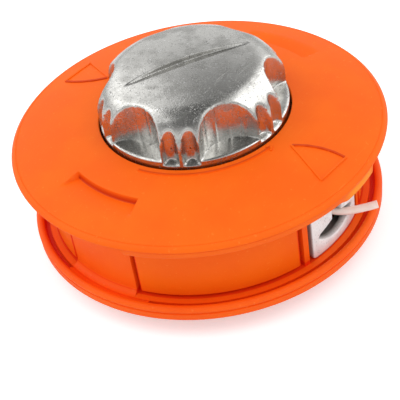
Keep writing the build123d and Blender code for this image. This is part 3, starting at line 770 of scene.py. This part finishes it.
def cover_ring(columns):
    """Profile: hole, top, rim, underside, ring and collar; the dents act on top and underside. The rim's
    lower band is full from each pier to the eyelet, deeper over the line's way out and flat elsewhere."""
    angles = np.linspace(0, 2 * np.pi, columns, endpoint=False)
    turn = np.degrees(angles)
    r_top = np.linspace(HOLE_R + HOLE_EDGE, RIM_TOP - 0.5, 78)
    top = np.stack([r_top, cone(r_top)], 1)
    edge = arc((HOLE_R + HOLE_EDGE, cone(HOLE_R + HOLE_EDGE) - HOLE_EDGE), HOLE_EDGE, 180, 95, 6)
    rim = rim_profile()
    ring = np.array([(59.7, 39.65), (59.5, 39.45), (59.5, 34.3), (59.2, 34.0), (57.3, 34.0), (57.0, 34.3)])
    r_low = np.linspace(57.0, HOLE_R + 2.0, 24)
    under = np.stack([r_low, RIM_Z + RIM_EDGE + SLOPE * (RIM_TOP - r_low) - 2.85], 1)
    collar = np.array([(HOLE_R + 2.0, 43.3), (HOLE_R + 1.7, 43.0), (HOLE_R + 0.3, 43.0), (HOLE_R, 43.3)])
    profile = np.concatenate([edge, top, rim, ring, under, collar])
    grid = np.broadcast_to(profile, (columns, *profile.shape)).copy()
    upside = slice(len(edge), len(edge) + len(top))
    underside = slice(len(profile) - len(collar) - len(under), len(profile) - len(collar))
    tops = grid[:, upside, 1]
    grid[:, upside, 1] = np.minimum(smooth_min(tops, dent(r_top, turn), 0.5), tops)
    grid[:, underside, 1] = np.minimum(grid[:, underside, 1], dent(r_low, turn) - 1.8)
    band = (profile[:, 0] > RIM_TOP - 2.0) & (profile[:, 1] < RIM_Z - 0.5)
    reach = ease((42.0 - np.abs(from_place(turn, -33.0))) / 0.5)
    near_eyelet = np.abs(from_place(turn, 1.5)) < 12
    hood = reach * ease(from_place(turn, -9.0) / 4.0) * near_eyelet
    crease_z = RIM_Z - 0.55
    drop = 0.1 + 0.9 * reach + 0.68 * hood
    grid[:, band, 1] = crease_z + (grid[:, band, 1] - crease_z) * drop[:, None]
    return turned(grid, angles)


# %% [markdown]
# The skirt panels, the latch lips and the eyelets' flanges are short curved walls with rounded edges. A bevel
# could round a plain block, but a section with round corners that shrinks at both ends is one clean grid.


# %% Blocks that follow the drum
def sector(r0, r1, a0, a1, z0, z1, edge=0.4, steps=3, spacing=1.2):
    """A block between two radii, angles and heights whose edges are rounded: the section is a rectangle
    with quarter-circle corners about four fixed centres, and near either end those circles shrink as the
    sine of a quarter turn."""
    b = np.linspace(0, np.pi / 2, steps + 2)
    shift, radius = edge * (1 - np.cos(b)), edge * np.sin(b)
    per_mm = np.degrees(1 / r1)
    middle = max(int((a1 - a0) / per_mm / spacing) // 2, 2)
    between_ends = np.linspace(a0 + edge * per_mm, a1 - edge * per_mm, middle + 2)[1:-1]
    angles = np.concatenate([a0 + shift * per_mm, between_ends, a1 - shift[::-1] * per_mm])
    radii = np.maximum(np.concatenate([radius, np.full(middle, edge), radius[::-1]]), 0.02)
    q = np.radians(np.linspace(0, 90, steps + 1))[None, :] + np.radians([0, 90, 180, 270])[:, None]
    near, far, low, high = r0 + edge, r1 - edge, z0 + edge, z1 - edge
    centres = np.array([(far, high), (near, high), (near, low), (far, low)])
    ring = np.stack([np.cos(q), np.sin(q)], -1)
    section = centres[None, :, None, :] + radii[:, None, None, None] * ring[None]
    return turned(section.reshape(len(angles), -1, 2), np.radians(angles))


def twice(make, *args, **more):
    """The same block on both sides of the head."""
    grid = make(*args, **more)
    return [(grid, False), (grid * np.array([-1, -1, 1]), False)]


panels = []
for panel in (PANEL_A, PANEL_B):
    panels += twice(sector, DRUM_R - 2.5, DRUM_R, *panel, FLOOR_Z + 1.0, PANEL_TOP, edge=0.5)
lips = twice(sector, DRUM_R + 0.4, 58.2, PIER_MID - 8.0, PIER_MID + 8.0, 34.0, 35.3, edge=0.3)
print("blocks of the cover:", len(panels) + len(lips))

# %% [markdown]
# Two plain signs are on the cover: a triangle by each eyelet, and an arc with a point along the knob's hole.
# Cut into a mould with an engraving tool, such signs stand up as low ribs of one width. Each is a small
# section carried along its line on the cone.


# %% Raised signs on the cover
def ridge(corners, width=0.9, height=0.42, steps=12):
    """A low rib along straight runs between (radius, degrees) corners, on the cone: a flat-topped section
    is carried along points spread evenly over each run."""
    r, a = np.array(corners, float).T
    flat = np.stack([r * np.cos(np.radians(a)), r * np.sin(np.radians(a))], 1)
    share = np.linspace(0, 1, steps, endpoint=False)[None, :, None]
    run = (flat[:-1, None] * (1 - share) + flat[1:, None] * share).reshape(-1, 2)
    run = np.concatenate([run, flat[-1:]])
    path = np.column_stack([run, cone(np.hypot(run[:, 0], run[:, 1]))])
    half = width / 2
    side = np.array([(half, -0.4), (half, 0.05), (0.75 * half, height)])
    return carried(path, np.concatenate([side, side[::-1] * np.array([-1, 1])]))


def arc_ridge(radius, start, end):
    """The same rib along an arc, from many short runs."""
    a = np.linspace(start, end, 60)
    return ridge(np.column_stack([np.full(len(a), radius), a]), steps=2)


triangle = [(40.2, -1.6), (44.5, 2.2), (48.9, 4.2), (53.0, 4.9), (57.1, 4.8), (56.8, -8.7), (40.2, -1.6)]
point = [(36.9, -10.8), (35.6, -8.0), (34.6, -10.8)]
signs = twice(ridge, triangle) + twice(arc_ridge, 35.6, -84.0, -9.0) + twice(ridge, point)
cover_grids = [(cover_ring(640), True)] + panels + lips + signs
piece("cover_ring", cover_grids, "housing", cover_orange, ["cover"])

# %% [markdown]
# Each eyelet is a cast metal plate in the drum's wall with a crescent slot and a notch above it, where the
# line leaves. The plate's face is ruled from the slot's outline to the plate's edge: both are seen from one
# point inside the slot, so every ray from that point gives one strip of the face, its rounded lip and its
# back.

# %% Sizes of the eyelets
PLATE_HALF, PLATE_TOP, PLATE_FOOT, PLATE_T = np.radians(14.0) * DRUM_R, 40.2, 2.0, 2.5
SLOT_HALF, SLOT_TIP, SLOT_LOW, SLOT_LIP = 10.2, FLOOR_Z + 7.4, FLOOR_Z + 3.7, 0.45
NOTCH_HALF, NOTCH_LOW, NOTCH_TOP = 2.9, FLOOR_Z + 11.0, FLOOR_Z + 22.4
EYE = np.array([0.0, FLOOR_Z + 8.6])
OUT_OF_SIGHT, TINY = 1e6, 1e-6
print("eyelet plate", round(float(2 * PLATE_HALF), 1), "mm wide")


# %% The eyelet's plate
def ray_to_polygon(corners, origin, directions):
    """Distance along each ray to the polygon's edges: the least positive crossing."""
    p = np.asarray(corners, float) - origin
    e = np.roll(p, -1, 0) - p
    cross = directions[:, None, 0] * e[None, :, 1] - directions[:, None, 1] * e[None, :, 0]
    cross = np.where(np.abs(cross) < TINY * 1e-3, TINY * 1e-3, cross)
    along = (p[None, :, 0] * e[None, :, 1] - p[None, :, 1] * e[None, :, 0]) / cross
    share = (p[None, :, 0] * directions[:, None, 1] - p[None, :, 1] * directions[:, None, 0]) / cross
    good = (along > TINY) & (share > -TINY) & (share < 1 + TINY)
    return np.where(good, along, OUT_OF_SIGHT).min(1)


def plate_border():
    """The plate's outline in (along the wall, height), with two round feet."""
    sweep = np.radians(np.linspace(0, 90, 5))
    across = -PLATE_HALF + PLATE_FOOT - PLATE_FOOT * np.cos(sweep)
    low_left = np.stack([across, FLOOR_Z + PLATE_FOOT - PLATE_FOOT * np.sin(sweep)], 1)
    low_right = low_left[::-1] * np.array([-1, 1])
    return np.concatenate([low_left, low_right, [(PLATE_HALF, PLATE_TOP), (-PLATE_HALF, PLATE_TOP)]])


def slot_outline():
    """The crescent's arc, whose radius is (h^2 + s^2) / 2s for half width h and rise s, and the notch."""
    rise = SLOT_TIP - SLOT_LOW
    radius = (SLOT_HALF**2 + rise**2) / (2 * rise)
    swing = np.arcsin(SLOT_HALF / radius) * np.linspace(-1, 1, 25)
    crescent = np.stack([radius * np.sin(swing), SLOT_LOW + radius - radius * np.cos(swing)], 1)
    side = np.array([(9.2, SLOT_TIP + 1.6), (NOTCH_HALF, NOTCH_LOW), (NOTCH_HALF, NOTCH_TOP)])
    return np.concatenate([crescent, side, side[::-1] * np.array([-1, 1])])


def eyelet_plate(rays):
    """Strips from the plate's edge to the slot on the drum's cylinder, over the lip and back. The first
    six points keep their distance from the plate's edge, the others from the slot."""
    t = np.radians(np.linspace(0, 360, rays, endpoint=False))
    d = np.stack([np.cos(t), np.sin(t)], 1)
    outer = ray_to_polygon(plate_border(), EYE, d)[:, None]
    inner = ray_to_polygon(slot_outline(), EYE, d)[:, None]
    q = np.radians(np.linspace(0, 90, 5))[1:]
    depth = np.concatenate([[PLATE_T, 0.4, 0.12, 0.0, 0.0, 0.0], SLOT_LIP - SLOT_LIP * np.cos(q), [PLATE_T]])
    from_edge = np.array([[0.0, 0.0, 0.12, 0.4, 2.0, 4.0]])
    from_slot = np.concatenate([SLOT_LIP - SLOT_LIP * np.sin(q), [0.0]])[None, :]
    reach = np.concatenate([outer - np.minimum(from_edge, (outer - inner) * 0.45), inner + from_slot], 1)
    s = EYE[0] + reach * d[:, :1]
    z = EYE[1] + reach * d[:, 1:]
    r = DRUM_R - np.broadcast_to(depth, s.shape)
    return np.stack([r * np.cos(s / DRUM_R), r * np.sin(s / DRUM_R), z], -1)


flanges = [
    sector(50.1, 52.5, -16.6, -12.8, FLOOR_Z, PLATE_TOP, edge=0.3),
    sector(50.1, 52.5, 12.8, 16.6, FLOOR_Z, PLATE_TOP, edge=0.3),
    sector(50.1, 53.4, -13.6, 13.6, FLOOR_Z, FLOOR_Z + PLATE_T, edge=0.3),
    sector(50.1, 53.4, -13.6, 13.6, PLATE_TOP - PLATE_T, PLATE_TOP, edge=0.3),
]
plate = [(eyelet_plate(360), True)] + [(grid, False) for grid in flanges]
opposite = [(grid * np.array([-1, -1, 1]), closed) for grid, closed in plate]
for side, grids in (("right", plate), ("left", opposite)):
    piece("eyelet_casting_" + side, grids, "housing", eyelet_metal, ["eyelet_" + side], 45)

# %% [markdown]
# The threaded adapter is the hexagon bush that screws onto the trimmer's shaft. Its left-hand thread, M10
# with a pitch of 1.25 mm, is one surface: the bore's radius is a rounded saw-tooth of height and angle
# together, so a full turn moves the pattern by one pitch and the thread closes on itself.

# %% Sizes of the adapter
FLAT_HALF, CORE_R, THREAD_DEEP, PITCH = 8.0, 4.35, 0.62, 1.25
BUSH_LOW, BUSH_TOP, MOUTH_R = 1.0, 19.0, 5.5
print("thread core", 2 * CORE_R, "mm, pitch", PITCH, "mm")


# %% The threaded adapter
def bush(columns):
    """Rows go up the outside, hexagon then collar, over the top edge and down the thread."""
    a = np.linspace(0, 2 * np.pi, columns, endpoint=False)[:, None]
    hexagon = FLAT_HALF / np.cos((a % SIXTH) - SIXTH / 2)
    share = np.array([0.93, 0.97, 1.0, 1.0, 1.0])
    corner = np.array([8.7, 8.95, 9.3, 9.3, 9.3])
    flats = np.minimum(hexagon * share, corner)
    flats_z = np.array([BUSH_LOW, 1.15, 1.6, 14.8, 15.0])
    collar = np.array([(10.5, 15.0), (10.8, 15.3), (10.8, 18.6), (10.4, BUSH_TOP), (5.6, BUSH_TOP)])
    z = np.linspace(BUSH_TOP - 0.4, BUSH_LOW + 0.4, 190)
    turn = (z / PITCH + a / (2 * np.pi)) % 1.0
    tooth = np.clip(np.abs(2 * turn - 1) * 1.35 - 0.15, 0, 1)
    bore = CORE_R + THREAD_DEEP * tooth
    collar_r = np.broadcast_to(collar[:, 0], (columns, len(collar)))
    radius = np.concatenate([flats, collar_r, bore, np.full((columns, 1), MOUTH_R)], 1)
    height = np.broadcast_to(np.concatenate([flats_z, collar[:, 1], z, [BUSH_LOW]]), radius.shape)
    return turned(np.stack([radius, height], -1), a[:, 0])


adapter_grids = [(bush(144), True)]
piece("shaft_adapter", adapter_grids, "housing", bright_steel, ["threaded_adapter"], 35)

# %% [markdown]
# The bump spring pushes the spool up against the cover's stops. Its end turns lie flat, as a ground spring's
# do, and the turns between rise evenly: the height eases in and out over the first and last turn. It flattens
# as the knob is pushed down.

# %% Sizes of the spring
COIL_R, WIRE_R, COIL_LOW, COIL_TOP, END_TURN = 16.9, 0.9, 12.5, 35.434, 0.9
EVENED = 41
print("spring", COIL_TOP - COIL_LOW + 2 * WIRE_R, "mm long")


# %% The bump spring
def coil(turns, per_turn):
    """A round wire along a circle whose height is a straight ramp between level ends, made smooth by a
    running mean."""
    t = np.linspace(0, 1, int(turns * per_turn))
    slow = END_TURN / turns
    level = np.clip(t - slow, 0, 1 - 2 * slow) / (1 - 2 * slow)
    rounded = np.convolve(np.pad(level, EVENED // 2, mode="edge"), np.ones(EVENED) / EVENED, mode="valid")
    a = 2 * np.pi * turns * t
    height = COIL_LOW + (COIL_TOP - COIL_LOW) * rounded
    path = np.stack([COIL_R * np.cos(a), COIL_R * np.sin(a), height], 1)
    return carried(path, round_section(WIRE_R, 14))


spring_grids = [(coil(8.6, 48), False)]
spring = piece("bump_spring_coil", spring_grids, "housing", bright_steel, ["bump_spring"], 40)
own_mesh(spring)

# %% [markdown]
# The set is a small white studio: a pale floor that keeps the shadow, a wide soft lamp on either side, and
# a room that only the metal sees. That room has a dark ceiling, a dim horizon and two bright cards, one to
# the right at the back and one to the left, because polished metal takes its whole look from what it
# mirrors. Real cards on stands would do the same, but they would show in other views.

# %% Floor
FLOOR_SIZE = 6
FLOOR_GLOW = 0.4
floor_mesh = bpy.data.meshes.new("floor")
corners = [(FLOOR_SIZE * x, FLOOR_SIZE * y, 0) for x, y in ((-1, -1), (1, -1), (1, 1), (-1, 1))]
floor_mesh.from_pydata(corners, [], [[0, 1, 2, 3]])
floor = bpy.data.objects.new("floor", floor_mesh)
scene.collection.objects.link(floor)
pale, shader, _ = finish("floor", Base_Color=(0.93, 0.93, 0.93, 1), Roughness=0.9, Specular_IOR_Level=0.0)
shader.inputs["Emission Strength"].default_value = 1.0
looked_at = Flow(pale.node_tree.nodes.new("ShaderNodeLightPath").outputs["Is Camera Ray"])
feed(shader, Emission_Color=(looked_at * FLOOR_GLOW).blend((0, 0, 0, 1), (1, 1, 1, 1)))
floor_mesh.materials.append(pale)
print("floor", 2 * FLOOR_SIZE, "m wide")

# %% World and lamps
world = bpy.data.worlds.new("studio")
scene.world = world
world.use_nodes = True
backdrop = world.node_tree.nodes["Background"]
backdrop.inputs["Color"].default_value = (1, 1, 1, 1)
path = world.node_tree.nodes.new("ShaderNodeLightPath")
seen = Flow(path.outputs["Is Camera Ray"])
mirrored = Flow(path.outputs["Is Glossy Ray"]) + Flow(path.outputs["Is Transmission Ray"])
heading = Flow(world.node_tree.nodes.new("ShaderNodeTexCoord").outputs["Generated"])
east, north, rise = [heading.node("ShaderNodeSeparateXYZ", out=axis, Vector=heading) for axis in range(3)]
right_card = (0.405 * east + 0.701 * north + 0.588 * rise).step(0.78, 0.9)
left_card = (-0.736 * east + 0.103 * north + 0.669 * rise).step(0.87, 0.95)
horizon = 1.0 - rise.step(0.02, 0.22)
room = 1.0 - 0.88 * rise.step(0.25, 0.9) - 0.55 * horizon + 1.6 * right_card + 1.1 * left_card
shown = seen + (1 - seen) * (mirrored * room + (1 - mirrored) * 0.85)
world.node_tree.links.new(shown.socket, backdrop.inputs["Strength"])


def lamp(name, place, aim_at, size, power):
    """A square soft lamp turned towards a point."""
    light = bpy.data.lights.new(name, "AREA")
    light.size = size
    light.energy = power
    made = bpy.data.objects.new(name, light)
    scene.collection.objects.link(made)
    made.location = place
    made.rotation_euler = (Vector(aim_at) - Vector(place)).to_track_quat("-Z", "Y").to_euler()
    return made


left_lamp = lamp("left_lamp", (-0.7, -0.55, 1.05), (0, 0, 0.03), 1.1, 4.4)
right_lamp = lamp("right_lamp", (0.8, 0.2, 1.1), (0, 0, 0.03), 1.1, 3.5)
print("lamps:", left_lamp.name, right_lamp.name)

# %% [markdown]

# %% The end
bpy.context.view_layer.update()
